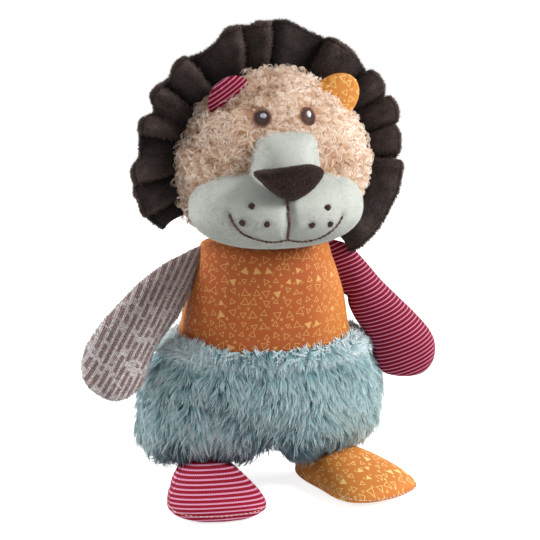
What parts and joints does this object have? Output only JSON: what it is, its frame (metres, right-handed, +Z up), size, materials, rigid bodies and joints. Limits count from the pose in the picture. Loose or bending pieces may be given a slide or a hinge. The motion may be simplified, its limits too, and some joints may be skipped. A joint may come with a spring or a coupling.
{
  "type": "stuffed toy lion",
  "caption": "Standing stuffed lion with a pleated mane, padded muzzle, shaggy trousers and arms and feet of unlike fabrics, all of them hinged at their seams.",
  "frame": {"origin": "on the plane that the soles rest on, below the middle of the lion's bounding box", "axes": "+Z up, -Y the way that the lion faces, +X to the lion's left"},
  "size_m": [0.2187, 0.1632, 0.2808],
  "materials": {
    "cream": "curly cream plush",
    "white": "short smooth off-white plush",
    "brown": "short dark brown pile",
    "orange": "orange cotton twill with a small pale print",
    "teal": "long blue-green plush",
    "knit": "grey marled knit",
    "stripe": "dark red woven cotton with thin pink stripes",
    "thread": "dark brown embroidery thread",
    "glint": "pale grey embroidery thread",
    "filling": "white polyester fibre filling"
  },
  "bodies": {
    "body": {"torso_front_panel": "orange", "torso_back_panel": "orange", "trousers_front_panel": "teal", "trousers_back_panel": "teal", "body_filling": "filling"},
    "neck": {"neck_filling": "filling"},
    "head": {"face_panel": "cream", "head_back_panel": "cream", "head_filling": "filling", "muzzle_panel": "white", "muzzle_filling": "filling", "bridge_panel": "white", "bridge_filling": "filling", "nose": "brown", "eye_right": "thread", "eye_left": "thread", "eye_glint_right": "glint", "eye_glint_left": "glint", "mouth_stitching": "thread", "smile_stitching_right": "thread", "smile_stitching_left": "thread", "whisker_dot_right_1": "thread", "whisker_dot_right_2": "thread", "whisker_dot_right_3": "thread", "whisker_dot_left_1": "thread", "whisker_dot_left_2": "thread", "whisker_dot_left_3": "thread", "mane_ruffle": "brown", "ear_right_front_panel": "stripe", "ear_right_back_panel": "stripe", "ear_left_front_panel": "orange", "ear_left_back_panel": "orange"},
    "arm_right": {"arm_right_front_panel": "knit", "arm_right_back_panel": "knit", "arm_right_filling": "filling"},
    "arm_left": {"arm_left_front_panel": "stripe", "arm_left_back_panel": "stripe", "arm_left_filling": "filling"},
    "foot_right": {"foot_right_upper_panel": "stripe", "foot_right_sole_panel": "stripe", "foot_right_filling": "filling"},
    "foot_left": {"foot_left_upper_panel": "orange", "foot_left_sole_panel": "orange", "foot_left_filling": "filling"},
    "tail": {"tail_tube": "teal", "tail_tuft": "brown"}
  },
  "joints": [
    {"name": "head_turn", "type": "hinge", "parent": "body", "child": "neck", "pos_m": [0.0025, -0.011, 0.152], "axis": [0, 0, 1], "range_deg": [-20, 20], "stiffness_Nm_per_rad": 0.3},
    {"name": "head_nod", "type": "hinge", "parent": "neck", "child": "head", "pos_m": [0.0025, -0.011, 0.152], "axis": [1, 0, 0], "range_deg": [-9, 9], "stiffness_Nm_per_rad": 0.8},
    {"name": "arm_right_flap", "type": "hinge", "parent": "body", "child": "arm_right", "pos_m": [-0.04101, -0.00649, 0.13325], "axis": [0.3834, 0, 0.9236], "range_deg": [-22, 16], "stiffness_Nm_per_rad": 0.05},
    {"name": "arm_left_flap", "type": "hinge", "parent": "body", "child": "arm_left", "pos_m": [0.046, -0.00649, 0.13325], "axis": [-0.3347, 0, 0.9423], "range_deg": [-18, 24], "stiffness_Nm_per_rad": 0.05},
    {"name": "foot_right_turn", "type": "hinge", "parent": "body", "child": "foot_right", "pos_m": [-0.038, -0.005, 0], "axis": [0, 0, 1], "range_deg": [-20, 20], "stiffness_Nm_per_rad": 0.2},
    {"name": "foot_left_turn", "type": "hinge", "parent": "body", "child": "foot_left", "pos_m": [0.038, 0.002, 0], "axis": [0, 0, 1], "range_deg": [-20, 20], "stiffness_Nm_per_rad": 0.2},
    {"name": "tail_swing", "type": "hinge", "parent": "body", "child": "tail", "pos_m": [0.00048, 0.05462, 0.066], "axis": [1, 0, 0], "range_deg": [-8, 45], "stiffness_Nm_per_rad": 0.02}
  ]
}
